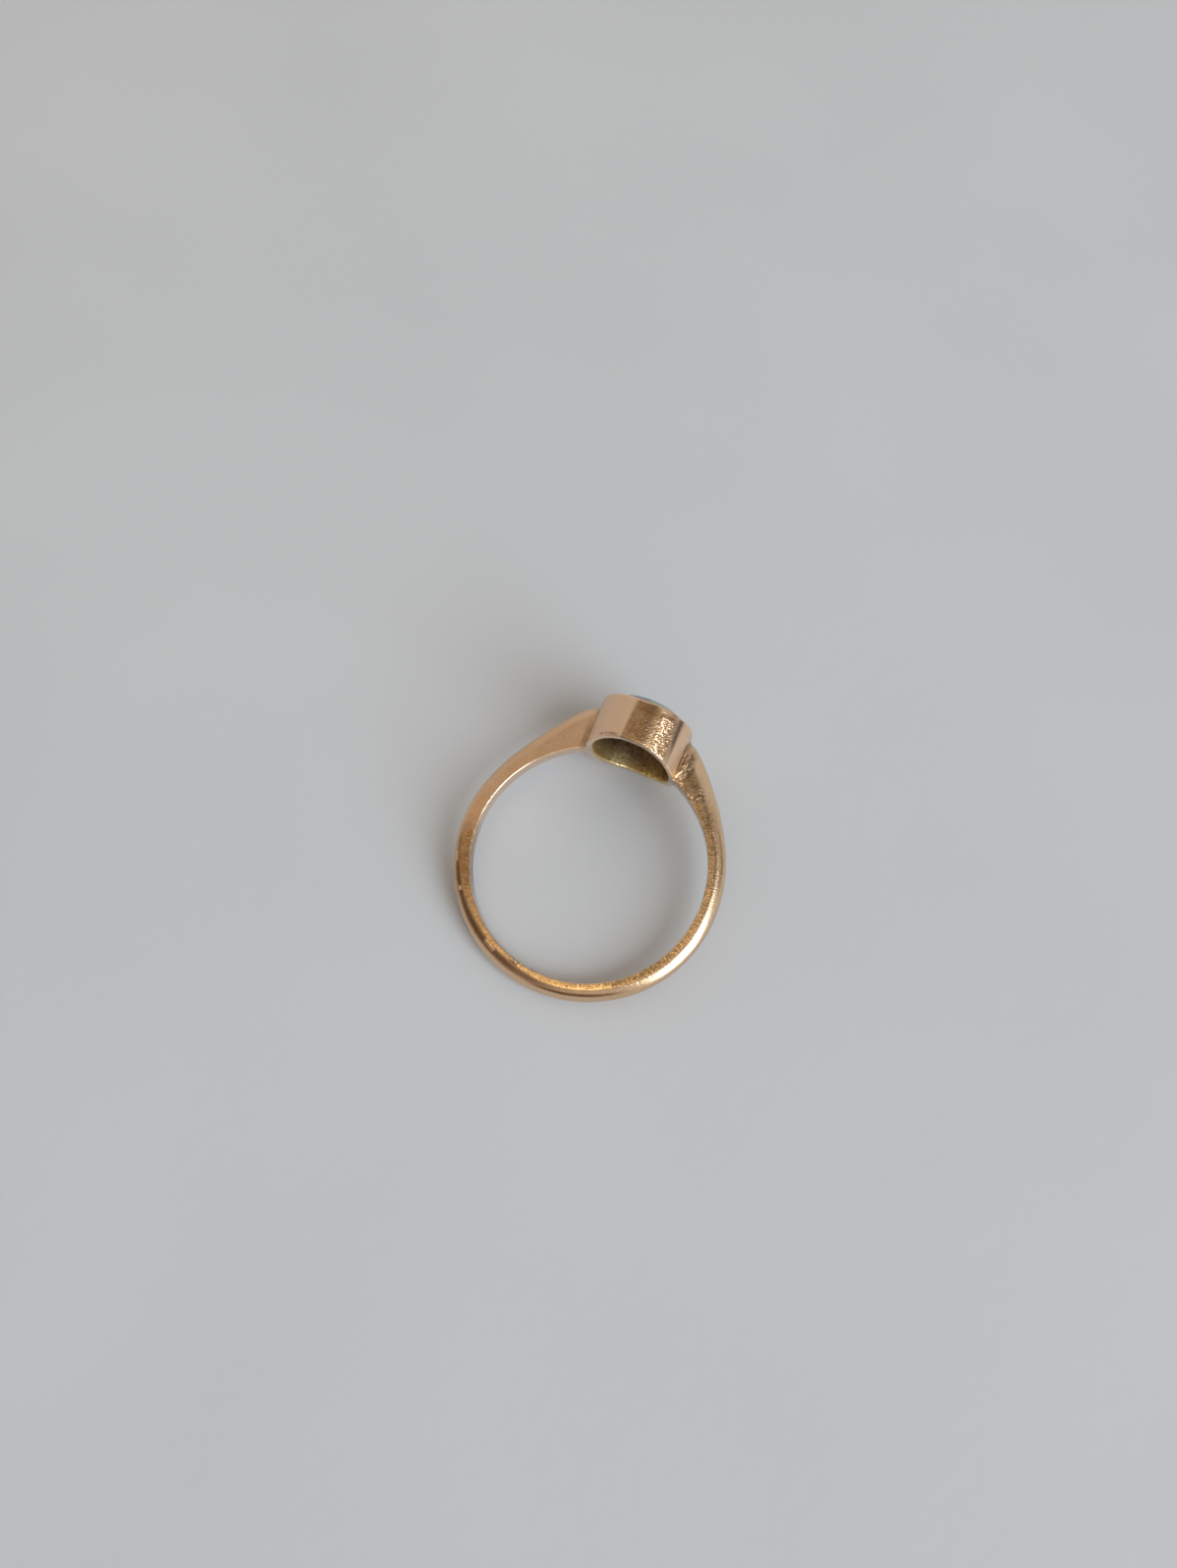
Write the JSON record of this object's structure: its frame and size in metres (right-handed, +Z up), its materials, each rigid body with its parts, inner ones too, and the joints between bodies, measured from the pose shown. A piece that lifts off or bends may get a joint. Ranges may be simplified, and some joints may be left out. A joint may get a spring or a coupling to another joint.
{
  "type": "bezel set ring",
  "caption": "Finger ring with a slim rounded shank, shoulders rising to an open backed oval collet, and a domed oval stone rubbed over in it.",
  "frame": {"origin": "centre of the finger hole, halfway along the shank's width", "axes": "the ring lies on its side as it rests: +Y runs level from the finger hole towards the collet and the stone, +Z is up, and the finger hole's axis leans 12 degrees from +Z towards -Y"},
  "size_m": [0.0196, 0.0223, 0.0095],
  "materials": {
    "gold": "worn satin 9 ct gold, rosy yellow, brighter on the edges and brown with patina in the seams",
    "opal": "polished milky opal, grey blue with violet and green play of colour"
  },
  "bodies": {
    "root": {"gold_ring": "gold", "opal_cabochon": "opal"}
  },
  "joints": []
}
